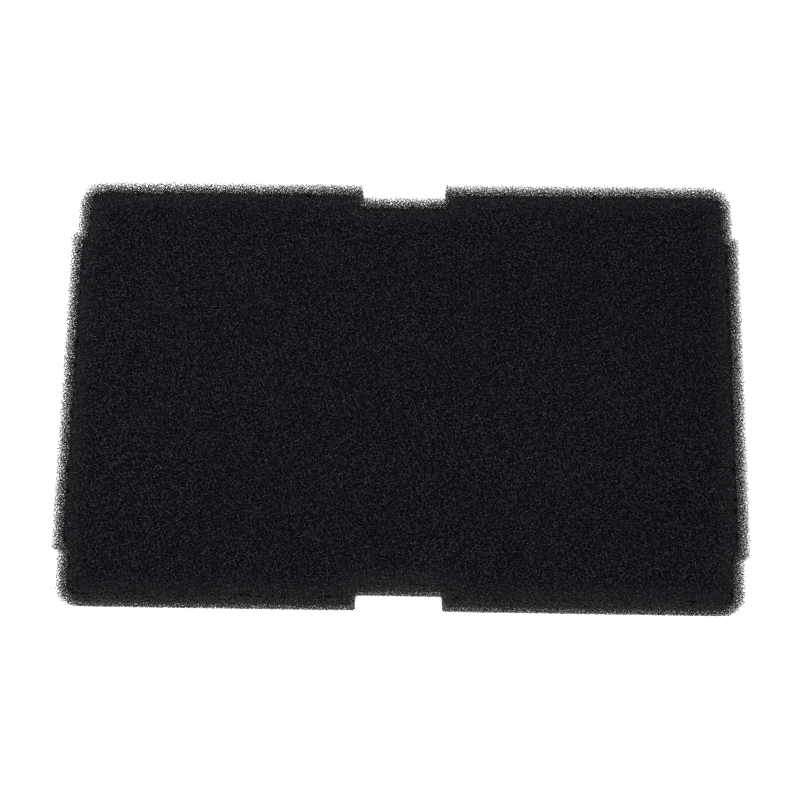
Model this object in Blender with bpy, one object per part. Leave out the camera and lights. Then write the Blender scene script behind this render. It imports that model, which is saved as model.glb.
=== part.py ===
"""Foam filter pad: a flat pad of open-cell filter foam, cut as one piece from sheet.

The pad lies flat on the XY plane. X runs along its length, Y across it, and Z up
through its thickness. The origin is the centre of its underside. Sizes are in metres.
"""
import math

import bmesh
import bpy
from mathutils import Vector

# Driving dimensions of the cut outline.
LENGTH = 0.240              # end to end, over the wider middle stretch of the ends
WIDTH = 0.1518              # long side to long side
THICKNESS = 0.010
CORNER_RADIUS = 0.0075

# One notch in the middle of each long side.
NOTCH_LENGTH = 0.030
NOTCH_DEPTH = 0.00505
NOTCH_MOUTH_RADIUS = 0.0006
NOTCH_FLOOR_RADIUS = 0.0010

# Each end steps in a little before it reaches its corners.
STEP_DEPTH = 0.0022
STEP_FROM_MIDLINE = 0.0568
STEP_RADIUS = 0.0010

# Straight pieces that stand for each rounded corner.
LARGE_ARC_SEGMENTS = 8
SMALL_ARC_SEGMENTS = 4
LARGE_ARC_FROM = 0.003      # radius from which an arc gets the larger number

FOAM_COLOUR = (0.010, 0.010, 0.012, 1.0)
FOAM_ROUGHNESS = 0.75


def clear_scene():
    for old in list(bpy.data.objects):
        bpy.data.objects.remove(old, do_unlink=True)


def foam_material():
    """Black polyurethane filter foam."""
    material = bpy.data.materials.new("filter_foam")
    material.use_nodes = True
    shader = material.node_tree.nodes["Principled BSDF"]
    shader.inputs["Base Color"].default_value = FOAM_COLOUR
    shader.inputs["Roughness"].default_value = FOAM_ROUGHNESS
    shader.inputs["Metallic"].default_value = 0.0
    material.diffuse_color = FOAM_COLOUR
    return material


def quadrant_corners():
    """Corners of the quarter with X and Y above zero: (place, radius), anticlockwise."""
    end = LENGTH / 2
    stepped_end = end - STEP_DEPTH
    side = WIDTH / 2
    notch_end = NOTCH_LENGTH / 2
    return [
        (Vector((end, STEP_FROM_MIDLINE)), STEP_RADIUS),
        (Vector((stepped_end, STEP_FROM_MIDLINE)), STEP_RADIUS),
        (Vector((stepped_end, side)), CORNER_RADIUS),
        (Vector((notch_end, side)), NOTCH_MOUTH_RADIUS),
        (Vector((notch_end, side - NOTCH_DEPTH)), NOTCH_FLOOR_RADIUS),
    ]


def outline_corners():
    """The whole outline's corners: the quarter, mirrored in X, in both, and in Y."""
    corners = []
    for sign_x, sign_y in ((1, 1), (-1, 1), (-1, -1), (1, -1)):
        quarter = [
            (Vector((sign_x * place.x, sign_y * place.y)), radius)
            for place, radius in quadrant_corners()
        ]
        if sign_x != sign_y:
            quarter.reverse()
        corners.extend(quarter)
    return corners


def corner_arc(before, corner, after, radius):
    """Points of the arc that rounds one right-angled corner."""
    back = (before - corner).normalized()
    ahead = (after - corner).normalized()
    centre = corner + radius * (back + ahead)
    segments = LARGE_ARC_SEGMENTS if radius >= LARGE_ARC_FROM else SMALL_ARC_SEGMENTS
    points = []
    for step in range(segments + 1):
        angle = step / segments * math.pi / 2
        points.append(centre - radius * (math.cos(angle) * ahead + math.sin(angle) * back))
    return points


def outline_points():
    corners = outline_corners()
    points = []
    for index, (corner, radius) in enumerate(corners):
        before = corners[index - 1][0]
        after = corners[(index + 1) % len(corners)][0]
        points.extend(corner_arc(before, corner, after, radius))
    return points


def make_foam_pad(material):
    """The outline, drawn on the XY plane and extruded up by the pad's thickness."""
    shape = bmesh.new()
    outline = [shape.verts.new((point.x, point.y, 0.0)) for point in outline_points()]
    underside = shape.faces.new(outline)
    raised = bmesh.ops.extrude_face_region(shape, geom=[underside], use_keep_orig=True)
    top_points = [item for item in raised["geom"] if isinstance(item, bmesh.types.BMVert)]
    bmesh.ops.translate(shape, verts=top_points, vec=(0.0, 0.0, THICKNESS))
    bmesh.ops.recalc_face_normals(shape, faces=shape.faces)
    mesh = bpy.data.meshes.new("foam_filter_pad")
    shape.to_mesh(mesh)
    shape.free()
    mesh.materials.append(material)
    pad = bpy.data.objects.new("foam_filter_pad", mesh)
    bpy.context.scene.collection.objects.link(pad)
    return pad


def build():
    clear_scene()
    make_foam_pad(foam_material())


build()
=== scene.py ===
import itertools
import math

import bpy
import numpy as np
from mathutils import Matrix, Vector


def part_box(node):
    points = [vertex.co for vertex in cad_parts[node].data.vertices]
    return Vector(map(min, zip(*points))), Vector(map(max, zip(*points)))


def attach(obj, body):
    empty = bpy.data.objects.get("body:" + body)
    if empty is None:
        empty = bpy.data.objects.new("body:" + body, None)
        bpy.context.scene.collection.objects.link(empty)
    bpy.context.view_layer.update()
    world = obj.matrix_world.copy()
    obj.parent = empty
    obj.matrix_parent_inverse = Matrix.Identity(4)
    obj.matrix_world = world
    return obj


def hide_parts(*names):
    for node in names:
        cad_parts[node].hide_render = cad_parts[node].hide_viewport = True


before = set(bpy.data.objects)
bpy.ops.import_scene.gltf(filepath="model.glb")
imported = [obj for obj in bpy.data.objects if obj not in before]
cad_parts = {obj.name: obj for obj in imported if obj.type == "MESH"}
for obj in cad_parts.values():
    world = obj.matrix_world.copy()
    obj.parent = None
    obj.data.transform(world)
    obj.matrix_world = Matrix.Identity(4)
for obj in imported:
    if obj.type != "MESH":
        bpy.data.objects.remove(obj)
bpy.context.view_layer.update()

# Lengths are metres, unless a name ends in _MM. The foam is worked out in millimetres.
MM = 0.001
PAD = "foam_filter_pad"

# The open-cell foam.
SEED = 11
CELL_PITCH_MM = 1.05             # cube root of the room that one cell takes
CELL_JITTER = 0.26               # how far cells stray from an even packing, in pitches
TILE_CELLS = 10                  # a tile is this many cubes across, with two cells in each
TILE_TURN = (0.61, 1.13, 0.37)   # radians about X, Y and Z: no row of cells follows the sheet
TILE_MARGIN = 0.9                # tiles with middles farther outside the pad are skipped, in tiles
NEIGHBOURS = 30                  # nodes of a cell are looked for among this many near it
NODE_REACH_MM = 2 * CELL_PITCH_MM    # and no farther from it than this
STRUT_MM = 0.058                 # from a node's middle to each of its corners
NODE_COVER_MM = 0.6 * STRUT_MM   # a node nearer than this to the pad's surface is cut away
STUB_MM = 1.2 * STRUT_MM         # a cut strut shorter than this is left out
CLOSED_STRUT_MM = 0.001          # scale of a strut that has no far end
TINY = 1e-9                      # stands in for zero where it is divided by
ROUNDING = 1e-7                  # square millimetres that don't make a cell nearer

# How deep the cells are modelled, before the dark core takes over.
TOP_LAYER_MM = 0.50
EDGE_BAND_TOP_MM = 4.8
EDGE_BAND_BOTTOM_MM = 1.3
PATCH_COLUMNS = 7
PATCH_ROWS = 4

# The core.
CORE_GRID_MM = 1.1
CORE_OVERLAP_MM = 0.15           # struts sink this far into it
CORE_FOOT_MM = 0.05              # its underside stays this far above the pad's
CORE_EDGE_INSET_MM = EDGE_BAND_BOTTOM_MM + 0.02
CORE_RAGGED_MM = 0.5             # how far its top and sides stray
PAINTED_GLOW_REACH_MM = 7.2              # past the band, painted light from the cut walls still shows this far in the core's colour

# Materials. A ramp's stops are (position, colour). Texture scales are in features per cell.
STRUT_COLOURS = (
    (0.35, (0.0053, 0.0050, 0.0073)),
    (0.65, (0.0094, 0.0087, 0.0110)),
)
STRUT_COLOUR_SCALE = 0.05
STRUT_ROUGHNESS = (0.06, 0.44)
STRUT_ROUGHNESS_SCALE = 1.3
STRUT_SPECULAR = 0.30
# The core's own black, with painted shade: darker in the cells' middles than at their walls, for
# the deeper foam seen through them.
CORE_COLOURS_AND_SHADE = (
    (0.0, (0.0080, 0.0077, 0.0100)),
    (0.10, (0.0012, 0.0011, 0.0015)),
)
CORE_ROUGHNESS = (0.7, 1.0)
CORE_BUMP_MM = 0.3
# The underside's cut cells: lighter cell walls, and black middles that are painted shade in the
# holes running into the foam.
UNDERSIDE_COLOURS_AND_SHADE = (
    (0.0, (0.020, 0.020, 0.023)),
    (0.07, (0.0040, 0.0039, 0.0046)),
    (0.20, (0.0, 0.0, 0.0)),
)
PAINTED_WALL_LIGHT = (                   # (position, grey), from deep in the pad to its cut walls: painted light, the core lighter where light scatters in through the cut sides
    (0.0, 0.0),
    (0.17, 0.0006),
    (0.33, 0.0015),
    (0.50, 0.0025),
    (0.60, 0.0035),
    (0.68, 0.0060),
    (0.78, 0.0140),
    (0.87, 0.0300),
    (1.0, 0.10),
)

# Floor, light and camera.
FLOOR_SIZE = 6.0
FLOOR_WHITE = 0.9
FLOOR_ROUGHNESS = 0.9
FLOOR_SPECULAR = 0.1
WORLD_STRENGTH = 1.15
SOFTBOXES = (                    # name, place, size, watts
    ("softbox_left", (-0.45, 0.30, 0.50), (0.35, 0.25), 6.5),
    ("softbox_right", (0.9, 0.3, 1.1), (0.6, 0.4), 12.0),
    ("softbox_near", (0.0, -0.75, 0.70), (0.5, 0.3), 9.0),
)
CAMERA_TILT = math.radians(8.86)     # from straight down
CAMERA_TURN = math.radians(5.60)     # round the pad, from its near side
CAMERA_ROLL = math.radians(0.838)
CAMERA_DISTANCE = 0.360
CAMERA_TARGET = Vector((-0.00053, -0.00190, 0.0))
CAMERA_LENS_MM = 45.10
CAMERA_SENSOR_MM = 36.0
CAMERA_CLIP_START = 0.01


# ---------------------------------------------------------------- the pad's shape

def pad_outline():
    """The CAD pad's outline, seen from above, as an anticlockwise loop in millimetres."""
    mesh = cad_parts[PAD].data
    low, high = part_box(PAD)
    middle = (low[2] + high[2]) / 2
    places = {}
    for vertex in mesh.vertices:
        if vertex.co.z > middle:
            places[vertex.index] = tuple(round(c / MM, 4) for c in vertex.co[:2])
    onward = {}
    for polygon in mesh.polygons:
        if abs(polygon.normal.z) > 0.5:
            continue
        ends = list(dict.fromkeys(places[i] for i in polygon.vertices if i in places))
        if len(ends) != 2:
            continue
        a, b = ends
        # On an anticlockwise loop the wall's normal points to the right.
        if (b[1] - a[1]) * polygon.normal.x - (b[0] - a[0]) * polygon.normal.y < 0:
            a, b = b, a
        onward[a] = b
    start = min(onward)
    loop = [start]
    while onward[loop[-1]] != start:
        loop.append(onward[loop[-1]])
    return np.array(loop)


def inset_from(outline, points, reach):
    """How far inside the outline each point lies, up to reach. Outside it is below zero."""
    low = outline.min(0) + 2 * reach
    high = outline.max(0) - 2 * reach
    result = np.full(len(points), float(reach))
    near = ~np.all((points > low) & (points < high), axis=1)
    x, y = points[near].T
    nearest = np.full(len(x), np.inf)
    inside = np.zeros(len(x), bool)
    for (ax, ay), (bx, by) in zip(outline, np.roll(outline, -1, axis=0)):
        ex, ey = bx - ax, by - ay
        share = np.clip(((x - ax) * ex + (y - ay) * ey) / (ex * ex + ey * ey), 0, 1)
        gap = (x - ax - share * ex) ** 2 + (y - ay - share * ey) ** 2
        np.minimum(nearest, gap, out=nearest)
        if ey != 0:
            crosses = (ay > y) != (by > y)
            inside ^= crosses & (x < ax + (y - ay) * ex / ey)
    result[near] = np.where(inside, 1, -1) * np.sqrt(nearest)
    return np.minimum(result, reach)


class PadShape:
    """Where foam may be in the pad, and where its cells are modelled. All in millimetres."""

    def __init__(self):
        self.low, self.high = (np.array(c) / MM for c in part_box(PAD))
        self.outline = pad_outline()
        self.reach = EDGE_BAND_TOP_MM + PAINTED_GLOW_REACH_MM

    def inset(self, points):
        """How far each point lies from the cut walls, up to the shape's reach."""
        return inset_from(self.outline, points, self.reach)

    def measure(self, points):
        """Two values for each point: its depth in the pad, and how far outside the core it is."""
        inset = self.inset(points[:, :2])
        up = points[:, 2] - self.low[2]
        down = self.high[2] - points[:, 2]
        share = np.clip(up / (self.high[2] - self.low[2]), 0, 1)
        band = EDGE_BAND_BOTTOM_MM + share * (EDGE_BAND_TOP_MM - EDGE_BAND_BOTTOM_MM)
        depth = np.minimum(inset, np.minimum(up, down))
        shell = np.maximum(TOP_LAYER_MM - down, band - inset)
        return depth, shell


def unit(vectors):
    return vectors / np.maximum(np.linalg.norm(vectors, axis=-1, keepdims=True), TINY)


# ---------------------------------------------------------------- a tile of random foam

# A foam node is where four cells meet. Struts leave it along the edges that three of the
# four share, so strut k is the one that cell k has no part in. Between each two struts,
# in the film that two cells share, the node has a corner: six corners in all.
PAIRS = list(itertools.combinations(range(4), 2))
STRUT_CORNERS = np.array([[PAIRS.index(p) for p in PAIRS if k not in p] for k in range(4)])
CELL_CORNERS = np.array([[PAIRS.index(p) for p in PAIRS if k in p] for k in range(4)])


def cell_centres(rng):
    """Centres of a jittered body-centred packing that repeats, and its period."""
    spacing = CELL_PITCH_MM * 2 ** (1 / 3)      # a cube of it holds two cells
    grid = np.stack(np.meshgrid(*[np.arange(TILE_CELLS)] * 3, indexing="ij"), -1).reshape(-1, 3)
    centres = np.concatenate([grid, grid + 0.5]) * spacing
    centres += rng.normal(0, CELL_JITTER * CELL_PITCH_MM, centres.shape)
    period = TILE_CELLS * spacing
    return centres % period, period


def nodes_round_cell(near, triples):
    """Points as far from a cell at zero as from three of those near it, with no cell nearer.

    Returns which triples of near cells they belong to, and the points.
    """
    a, b, c = (near[triples[:, k]] for k in range(3))
    bc, ca, ab = np.cross(b, c), np.cross(c, a), np.cross(a, b)
    det = (a * bc).sum(1)
    det[np.abs(det) < TINY] = TINY
    a_size, b_size, c_size = ((v ** 2).sum(1)[:, None] for v in (a, b, c))
    nodes = (a_size * bc + b_size * ca + c_size * ab) / (2 * det[:, None])
    rows = np.flatnonzero((nodes ** 2).sum(1) < NODE_REACH_MM ** 2)
    nearer = 2 * nodes[rows] @ near.T - (near ** 2).sum(1)
    rows = rows[(nearer < ROUNDING).all(1)]
    return rows, nodes[rows]


def foam_tile(rng):
    """Nodes of the foam between the cells of one tile.

    Returns the period, each node's place, and for each of its four struts the node at
    its far end, how many tiles away that is, and which of that node's struts it is.
    """
    centres, period = cell_centres(rng)
    count = len(centres)
    step = centres[None] - centres[:, None]
    wrap = -np.round(step / period).astype(int)
    step += wrap * period
    distance = (step ** 2).sum(-1)
    np.fill_diagonal(distance, np.inf)
    order = np.argsort(distance, axis=1)[:, :NEIGHBOURS]
    rows = np.arange(count)[:, None]
    near = step[rows, order]
    near_wrap = wrap[rows, order]
    triples = np.array(list(itertools.combinations(range(NEIGHBOURS), 3)))
    places, cells, wraps = [], [], []
    for i in range(count):
        # Each node is found once, from the first of its four cells.
        usable = triples[(order[i][triples] > i).all(1)]
        if not len(usable):
            continue
        found, nodes = nodes_round_cell(near[i], usable)
        usable = usable[found]
        own = np.full((len(usable), 1), i)
        own_wrap = np.zeros((len(usable), 1, 3), int)
        places.append(centres[i] + nodes)
        cells.append(np.concatenate([own, order[i][usable]], 1))
        wraps.append(np.concatenate([own_wrap, near_wrap[i][usable]], 1))
    places, cells, wraps = (np.concatenate(x) for x in (places, cells, wraps))
    by_cell = np.argsort(cells, axis=1)
    rows = np.arange(len(cells))[:, None]
    cells, wraps = cells[rows, by_cell], wraps[rows, by_cell]
    return period, places, *join_struts(cells, wraps, count)


def join_struts(cells, wraps, count):
    """Pairs up the struts of all nodes: two nodes that share three cells share a strut."""
    keys, bases = [], []
    for k in range(4):
        first, *others = [j for j in range(4) if j != k]
        base = wraps[:, first]
        key = (cells[:, first] * count + cells[:, others[0]]) * count + cells[:, others[1]]
        # The cells' tiles count from the first cell's, from -2 to 2 along each axis.
        for j, axis in itertools.product(others, range(3)):
            key = key * 5 + (wraps[:, j, axis] - base[:, axis] + 2)
        keys.append(key)
        bases.append(base)
    keys = np.stack(keys, 1).ravel()
    bases = np.stack(bases, 1).reshape(-1, 3)
    order = np.argsort(keys, kind="stable")
    same = keys[order[1:]] == keys[order[:-1]]
    first, second = order[:-1][same], order[1:][same]
    far = np.full(len(keys), -1)
    far[first], far[second] = second, first
    far_node = np.where(far >= 0, far // 4, -1).reshape(-1, 4)
    far_wrap = (bases - bases[far]).reshape(-1, 4, 3)
    far_strut = (far % 4).reshape(-1, 4)
    return far_node, far_wrap, far_strut


# ---------------------------------------------------------------- foam that fills the pad

def tiles_over(shape, period, turn):
    """The tiles that reach into the pad, as whole numbers of periods along the tile's axes."""
    corners = np.array(list(itertools.product(*zip(shape.low, shape.high)))) @ turn
    first = np.floor(corners.min(0) / period).astype(int) - 1
    last = np.ceil(corners.max(0) / period).astype(int) + 1
    tiles = np.array(list(itertools.product(*[range(a, b + 1) for a, b in zip(first, last)])))
    middles = (tiles + 0.5) * period @ turn.T
    margin = period * TILE_MARGIN
    near = np.all((middles > shape.low - margin) & (middles < shape.high + margin), axis=1)
    return tiles[near], first, last - first + 1


def fill_pad(shape, tile):
    """Repeats the tile through the pad and keeps the nodes in its outer layers.

    Returns each kept node's place, and for each of its four struts the far end's place,
    the kept node there or -1, and which of that node's struts it is.
    """
    period, places, far_node, far_wrap, far_strut = tile
    turn_x, turn_y, turn_z = (Matrix.Rotation(a, 3, axis) for a, axis in zip(TILE_TURN, "XYZ"))
    turn = np.array(turn_x @ turn_y @ turn_z)
    tiles, first, size = tiles_over(shape, period, turn)
    points = (places[None] + tiles[:, None] * period).reshape(-1, 3) @ turn.T
    tile_of = np.repeat(np.arange(len(tiles)), len(places))
    node_of = np.tile(np.arange(len(places)), len(tiles))
    inside = np.all((points > shape.low) & (points < shape.high), axis=1)
    points, tile_of, node_of = points[inside], tile_of[inside], node_of[inside]
    depth, shell = shape.measure(points)
    kept = (depth > NODE_COVER_MM) & (shell > 0)
    points, tile_of, node_of = points[kept], tile_of[kept], node_of[kept]

    def key_of(tile_place, node):
        """One number for a node in a tile."""
        x, y, z = np.moveaxis(tile_place - first, -1, 0)
        return ((x * size[1] + y) * size[2] + z) * len(places) + node

    keys = key_of(tiles[tile_of], node_of)
    order = np.argsort(keys)
    points, tile_of, node_of, keys = points[order], tile_of[order], node_of[order], keys[order]
    far_tile = tiles[tile_of][:, None] + far_wrap[node_of]
    far_points = (places[far_node[node_of]] + far_tile * period) @ turn.T
    # A strut with no far end, where five cells nearly meet, shrinks to nothing.
    loose = far_node[node_of] < 0
    others = (unit(far_points - points[:, None]) * ~loose[..., None]).sum(1)
    far_points[loose] = (points - others * CLOSED_STRUT_MM)[np.nonzero(loose)[0]]
    wanted = key_of(far_tile, far_node[node_of])
    found = np.clip(np.searchsorted(keys, wanted), 0, len(keys) - 1)
    far_index = np.where((keys[found] == wanted) & ~loose, found, -1)
    return points, far_points, far_index, far_strut[node_of]


def node_corners(points, far_points):
    """The six corners of each node, each between two struts."""
    ways = unit(far_points - points[:, None])
    corners = []
    for pair in PAIRS:
        k, m = (strut for strut in range(4) if strut not in pair)
        corners.append(unit(ways[:, k] + ways[:, m]))
    return points[:, None] + STRUT_MM * np.stack(corners, 1)


def stub_share(shape, points, far_points):
    """How much of a strut lies in the modelled layer, for struts whose far node doesn't."""
    depth_a, shell_a = shape.measure(points)
    depth_b, shell_b = shape.measure(far_points)
    shell_a, shell_b = shell_a + CORE_OVERLAP_MM, shell_b + CORE_OVERLAP_MM
    share = np.ones(len(points))
    for here, there in ((depth_a, depth_b), (shell_a, shell_b)):
        out = there < 0
        share[out] = np.minimum(share[out], here[out] / (here[out] - there[out]))
    return share


# ---------------------------------------------------------------- meshes of struts

def faces_against(triangles, ways):
    """Whether each triangle, given as the places of its corners, faces against its way."""
    normals = np.cross(triangles[:, 1] - triangles[:, 0], triangles[:, 2] - triangles[:, 0])
    return (normals * ways).sum(1) < 0


def prism(here, there):
    """The three sides of a strut between its two end triangles."""
    sides = []
    for a, b in ((0, 1), (1, 2), (2, 0)):
        sides.append(np.stack([here[:, a], here[:, b], there[:, b], there[:, a]], 1))
    return np.concatenate(sides)


def make_mesh(name, shape, places, quads, tris):
    """A mesh from places in millimetres, cut off flat where they pass the pad's box."""
    places = np.clip(places, shape.low, shape.high) * MM
    mesh = bpy.data.meshes.new(name)
    mesh.vertices.add(len(places))
    mesh.vertices.foreach_set("co", places.astype(np.float32).ravel())
    loops = np.concatenate([quads.ravel(), tris.ravel()])
    sizes = np.concatenate([np.full(len(quads), 4), np.full(len(tris), 3)])
    mesh.loops.add(len(loops))
    mesh.loops.foreach_set("vertex_index", loops.astype(np.int32))
    mesh.polygons.add(len(sizes))
    mesh.polygons.foreach_set("loop_start", (np.cumsum(sizes) - sizes).astype(np.int32))
    mesh.polygons.foreach_set("use_smooth", np.ones(len(sizes), bool))
    mesh.update(calc_edges=True)
    return mesh


class Patch:
    """The corners, sides and end triangles of one patch of struts, as they are gathered."""

    def __init__(self, corners):
        self.corners = [corners]
        self.used = len(corners)
        self.sides = []
        self.ends = []

    def add_ends(self, places):
        """Adds three corners for each new end, and returns where they are in the patch."""
        index = self.used + np.arange(3 * len(places)).reshape(-1, 3)
        self.used += 3 * len(places)
        self.corners.append(places.reshape(-1, 3))
        self.ends.append(index)
        return index

    def mesh(self, name, shape):
        parts = (self.corners, self.sides, self.ends)
        return make_mesh(name, shape, *(np.concatenate(part) for part in parts))


def patch_mesh(name, shape, foam, members):
    """The struts that start at the member nodes."""
    points, far_points, far_index, far_strut, corners = foam
    local = np.full(len(points) + 1, -1)
    local[members] = np.arange(len(members))
    own = corners[members].reshape(-1, 3)
    base = 6 * np.arange(len(members))[:, None]
    patch = Patch(own)

    for cell in range(4):
        index = base + CELL_CORNERS[cell]
        places = own[index]
        turned = faces_against(places, places.mean(1) - points[members])
        index[turned] = index[turned][:, ::-1]
        patch.ends.append(index)

    for k in range(4):
        far = far_index[members, k]
        here = base + STRUT_CORNERS[k]
        axis = far_points[members, k] - points[members]
        # Each end triangle is ordered so that its normal points along the strut.
        turned = faces_against(own[here], axis)
        order = np.where(turned[:, None], [0, 2, 1], [0, 1, 2])
        here = np.take_along_axis(here, order, 1)
        there = STRUT_CORNERS[far_strut[members, k]]
        there = np.take_along_axis(there, order, 1)

        joined = (far >= 0) & (local[far] >= 0)
        rows = np.flatnonzero(joined & (members < far))
        patch.sides.append(prism(here[rows], 6 * local[far[rows]][:, None] + there[rows]))

        # A strut that runs on into another patch ends in a copy of its far corners.
        crossing = (far >= 0) & ~joined
        away = np.flatnonzero(crossing & (members < far))
        ends = patch.add_ends(corners[far[away][:, None], there[away]])
        patch.sides.append(prism(here[away], ends))
        patch.ends.append(here[crossing & (members > far)])

        # A strut cut by the knife, or one that sinks into the core, ends in a flat cap.
        rows = np.flatnonzero(far < 0)
        share = stub_share(shape, points[members[rows]], far_points[members[rows], k])
        long_enough = share * np.linalg.norm(axis[rows], axis=1) > STUB_MM
        patch.ends.append(here[rows[~long_enough]])
        rows, share = rows[long_enough], share[long_enough]
        ends = patch.add_ends(own[here[rows]] + (axis[rows] * share[:, None])[:, None])
        patch.sides.append(prism(here[rows], ends))

    return patch.mesh(name, shape)


def split_patches(points):
    """Groups of nodes, columns along X and rows along Y, with about as many nodes in each."""
    by_x = np.argsort(points[:, 0], kind="stable")
    for column in np.array_split(by_x, PATCH_COLUMNS):
        by_y = column[np.argsort(points[column, 1], kind="stable")]
        for row in np.array_split(by_y, PATCH_ROWS):
            yield np.sort(row)


# ---------------------------------------------------------------- the dark core

def squares_within(inside):
    """Squares of a grid with all four corners inside, the points they use, and their rim."""
    whole = inside[:-1, :-1] & inside[1:, :-1] & inside[1:, 1:] & inside[:-1, 1:]
    padded = np.pad(whole, 1)
    around = (padded[:-1, :-1], padded[1:, :-1], padded[1:, 1:], padded[:-1, 1:])
    used = np.any(around, axis=0)
    rim = used & ~np.all(around, axis=0)
    return whole, used, rim


def core_top(inset, size, rng):
    """How high the core's top lies above the pad's underside: sloping sides, ragged all over."""
    stray = rng.normal(0, CORE_RAGGED_MM, (2, *inset.shape))
    share = (inset + stray[0] - EDGE_BAND_BOTTOM_MM) / (EDGE_BAND_TOP_MM - EDGE_BAND_BOTTOM_MM)
    top = np.minimum(share * size[2], size[2] - (TOP_LAYER_MM + np.abs(stray[1])))
    return np.maximum(top, 2 * CORE_FOOT_MM)


def core_mesh(name, shape, rng):
    """The closed body inside the modelled cells: a grid over the pad, with sloping sides."""
    size = shape.high - shape.low
    counts = np.ceil(size[:2] / CORE_GRID_MM).astype(int)
    xs, ys = (shape.low[i] + size[i] * np.arange(counts[i] + 1) / counts[i] for i in (0, 1))
    grid = np.stack(np.meshgrid(xs, ys, indexing="ij"), -1)
    inset = shape.inset(grid.reshape(-1, 2)).reshape(grid.shape[:2])
    whole, used, rim = squares_within(inset > CORE_EDGE_INSET_MM)
    # The rim's points move out onto one even line round the core.
    outwards = -unit(np.stack(np.gradient(inset, xs, ys), -1))
    grid[rim] += outwards[rim] * (inset[rim] - CORE_EDGE_INSET_MM)[:, None]
    bottom = shape.low[2] + CORE_FOOT_MM
    top = shape.low[2] + core_top(inset, size, rng)
    top[rim] = bottom

    # The rim's points serve both the top and the bottom, and the others are there twice.
    deep = used & ~rim
    index_top = np.full(inset.shape, -1)
    index_top[used] = np.arange(used.sum())
    index_bottom = index_top.copy()
    index_bottom[deep] = used.sum() + np.arange(deep.sum())
    verts = np.concatenate([
        np.column_stack([grid[used], top[used]]),
        np.column_stack([grid[deep], np.full(deep.sum(), bottom)]),
    ])
    i, j = np.nonzero(whole)
    square = ((i, j), (i + 1, j), (i + 1, j + 1), (i, j + 1))
    upper = np.stack([index_top[corner] for corner in square], 1)
    lower = np.stack([index_bottom[square[k]] for k in (0, 3, 2, 1)], 1)
    mesh = make_mesh(name, shape, verts, np.concatenate([upper, lower]), np.zeros((0, 3), int))

    # The painted wall light is kept on the points: highest at the cut walls, gone at the shape's
    # reach.
    from_wall = np.concatenate([inset[used], inset[deep]])
    values = {
        "painted_wall_light": np.clip(1 - from_wall / shape.reach, 0, 1),
        "underside": np.concatenate([np.zeros(used.sum()), np.ones(deep.sum())]),
    }
    for label, value in values.items():
        data = mesh.attributes.new(label, "FLOAT", "POINT").data
        data.foreach_set("value", value.astype(np.float32))
    return mesh


# ---------------------------------------------------------------- materials

def new_material(name):
    material = bpy.data.materials.new(name)
    material.use_nodes = True
    return material, material.node_tree, material.node_tree.nodes["Principled BSDF"]


def place_in_cells(tree, scale):
    """Texture coordinates in the pad, counted in cells times scale."""
    place = tree.nodes.new("ShaderNodeTexCoord")
    mapping = tree.nodes.new("ShaderNodeMapping")
    mapping.inputs["Scale"].default_value = (scale / (CELL_PITCH_MM * MM),) * 3
    tree.links.new(place.outputs["Object"], mapping.inputs["Vector"])
    return mapping.outputs["Vector"]


def noise(tree, scale, detail):
    texture = tree.nodes.new("ShaderNodeTexNoise")
    texture.inputs["Scale"].default_value = 1.0
    texture.inputs["Detail"].default_value = detail
    tree.links.new(place_in_cells(tree, scale), texture.inputs["Vector"])
    return texture.outputs["Fac"]


def cell_walls(tree):
    """How far a point lies from the nearest wall between cells."""
    cells = tree.nodes.new("ShaderNodeTexVoronoi")
    cells.feature = "DISTANCE_TO_EDGE"
    cells.inputs["Scale"].default_value = 1.0
    tree.links.new(place_in_cells(tree, 1.0), cells.inputs["Vector"])
    return cells.outputs["Distance"]


def attribute(tree, name):
    node = tree.nodes.new("ShaderNodeAttribute")
    node.attribute_name = name
    return node.outputs["Fac"]


def ramp(tree, value, stops):
    """A colour ramp from (position, colour) stops."""
    node = tree.nodes.new("ShaderNodeValToRGB")
    elements = node.color_ramp.elements
    while len(elements) < len(stops):
        elements.new(0.5)
    for element, (position, colour) in zip(elements, stops):
        element.position = position
        element.color = (*colour, 1)
    tree.links.new(value, node.inputs["Fac"])
    return node.outputs["Color"]


def to_range(tree, value, low, high):
    node = tree.nodes.new("ShaderNodeMapRange")
    node.inputs["To Min"].default_value = low
    node.inputs["To Max"].default_value = high
    tree.links.new(value, node.inputs["Value"])
    return node.outputs["Result"]


def add_colour(tree, colour, extra, share=None):
    """The colour with extra added to it, all of it or the given share."""
    node = tree.nodes.new("ShaderNodeMix")
    node.data_type = "RGBA"
    node.blend_type = "ADD"
    node.inputs["Factor"].default_value = 1.0
    if share is not None:
        tree.links.new(share, node.inputs["Factor"])
    # The colour sockets share their names with the number and vector ones.
    first, second = (socket for socket in node.inputs if socket.type == "RGBA")
    tree.links.new(colour, first)
    tree.links.new(extra, second)
    return next(socket for socket in node.outputs if socket.type == "RGBA")


def bump(tree, height, distance):
    """A normal from a height that counts downwards."""
    node = tree.nodes.new("ShaderNodeBump")
    node.invert = True
    node.inputs["Distance"].default_value = distance
    tree.links.new(height, node.inputs["Height"])
    return node.outputs["Normal"]


def strut_material():
    """Black foam struts: nearly no colour of their own, and a gloss that varies along them."""
    material, tree, shader = new_material("filter_foam_struts")
    colour = ramp(tree, noise(tree, STRUT_COLOUR_SCALE, detail=4.0), STRUT_COLOURS)
    gloss = to_range(tree, noise(tree, STRUT_ROUGHNESS_SCALE, detail=1.0), *STRUT_ROUGHNESS)
    tree.links.new(colour, shader.inputs["Base Color"])
    tree.links.new(gloss, shader.inputs["Roughness"])
    shader.inputs["Specular IOR Level"].default_value = STRUT_SPECULAR
    return material


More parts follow.
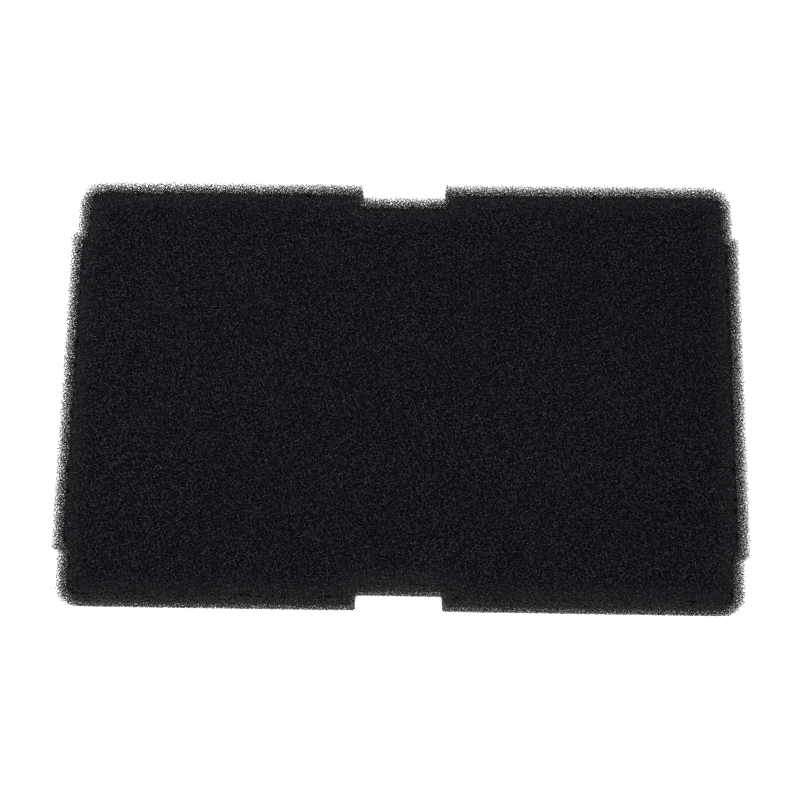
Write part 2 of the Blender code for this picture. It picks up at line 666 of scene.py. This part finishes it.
def core_material():
    """What shows between the struts: the same cells again, deeper: black foam darkened by painted
    shade, with painted light towards the cut walls.
    """
    material, tree, shader = new_material("filter_foam_core")
    walls = cell_walls(tree)
    # Painted shade: darker in the cells' middles, away from their walls.
    colour = ramp(tree, walls, CORE_COLOURS_AND_SHADE)
    # Painted light: the core's colour is made lighter towards the cut walls, for light that
    # scatters in through the foam's sides.
    greys = [(position, (grey,) * 3) for position, grey in PAINTED_WALL_LIGHT]
    colour = add_colour(tree, colour, ramp(tree, attribute(tree, "painted_wall_light"), greys))
    # The underside's cells have no struts of their own in front of them. Their walls are lighter,
    # and their middles are painted black, painted shade in the holes.
    cut_cells_and_shade = ramp(tree, walls, UNDERSIDE_COLOURS_AND_SHADE)
    colour = add_colour(tree, colour, cut_cells_and_shade, attribute(tree, "underside"))
    tree.links.new(colour, shader.inputs["Base Color"])
    roughness = to_range(tree, noise(tree, 1.0, detail=2.0), *CORE_ROUGHNESS)
    tree.links.new(roughness, shader.inputs["Roughness"])
    tree.links.new(bump(tree, walls, CORE_BUMP_MM * MM), shader.inputs["Normal"])
    shader.inputs["Specular IOR Level"].default_value = 0.0
    return material


# ---------------------------------------------------------------- the foam pad's pieces

def add_piece(name, mesh, material):
    piece = bpy.data.objects.new(name, mesh)
    bpy.context.scene.collection.objects.link(piece)
    mesh.materials.append(material)
    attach(piece, "root")
    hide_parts(PAD)


def add_foam():
    shape = PadShape()
    rng = np.random.default_rng(SEED)
    points, far_points, far_index, far_strut = fill_pad(shape, foam_tile(rng))
    foam = (points, far_points, far_index, far_strut, node_corners(points, far_points))
    struts = strut_material()
    for number, members in enumerate(split_patches(points), start=1):
        name = f"foam_cells_{number:02d}"
        add_piece(name, patch_mesh(name, shape, foam, members), struts)
    add_piece("foam_core", core_mesh("foam_core", shape, rng), core_material())


# ---------------------------------------------------------------- floor, light and camera

def add_floor():
    half = FLOOR_SIZE / 2
    corners = [(-half, -half, 0), (half, -half, 0), (half, half, 0), (-half, half, 0)]
    mesh = bpy.data.meshes.new("floor")
    mesh.from_pydata(corners, [], [(0, 1, 2, 3)])
    floor = bpy.data.objects.new("floor", mesh)
    bpy.context.scene.collection.objects.link(floor)
    material, _, shader = new_material("floor_white")
    shader.inputs["Base Color"].default_value = (FLOOR_WHITE, FLOOR_WHITE, FLOOR_WHITE, 1)
    shader.inputs["Roughness"].default_value = FLOOR_ROUGHNESS
    shader.inputs["Specular IOR Level"].default_value = FLOOR_SPECULAR
    mesh.materials.append(material)


def add_softbox(name, place, size, energy):
    """A rectangular lamp that looks at the frame's origin."""
    lamp = bpy.data.lights.new(name, "AREA")
    lamp.shape = "RECTANGLE"
    lamp.size, lamp.size_y = size
    lamp.energy = energy
    softbox = bpy.data.objects.new(name, lamp)
    bpy.context.scene.collection.objects.link(softbox)
    softbox.location = place
    softbox.rotation_euler = (-Vector(place)).to_track_quat("-Z", "Y").to_euler()


def add_light():
    """A white room and three softboxes."""
    world = bpy.data.worlds.new("studio")
    bpy.context.scene.world = world
    world.use_nodes = True
    background = world.node_tree.nodes["Background"]
    background.inputs["Color"].default_value = (1.0, 1.0, 1.0, 1)
    background.inputs["Strength"].default_value = WORLD_STRENGTH
    for softbox in SOFTBOXES:
        add_softbox(*softbox)


def add_camera():
    lens = bpy.data.cameras.new("camera")
    lens.lens = CAMERA_LENS_MM
    lens.sensor_width = CAMERA_SENSOR_MM
    lens.clip_start = CAMERA_CLIP_START
    camera = bpy.data.objects.new("camera", lens)
    bpy.context.scene.collection.objects.link(camera)
    back = Vector((
        math.sin(CAMERA_TURN) * math.sin(CAMERA_TILT),
        -math.cos(CAMERA_TURN) * math.sin(CAMERA_TILT),
        math.cos(CAMERA_TILT),
    ))
    right = (-back).cross(Vector((0, 1, 0))).normalized()
    up = right.cross(-back)
    rolled_right = math.cos(CAMERA_ROLL) * right + math.sin(CAMERA_ROLL) * up
    rolled_up = -math.sin(CAMERA_ROLL) * right + math.cos(CAMERA_ROLL) * up
    turn = Matrix((rolled_right, rolled_up, back)).transposed()
    place = CAMERA_TARGET + CAMERA_DISTANCE * back
    camera.matrix_world = Matrix.Translation(place) @ turn.to_4x4()
    bpy.context.scene.camera = camera


add_foam()
add_floor()
add_light()
add_camera()
bpy.context.scene.view_settings.view_transform = "Standard"
bpy.context.scene.cycles.use_denoising = False     # it would smear struts finer than a pixel
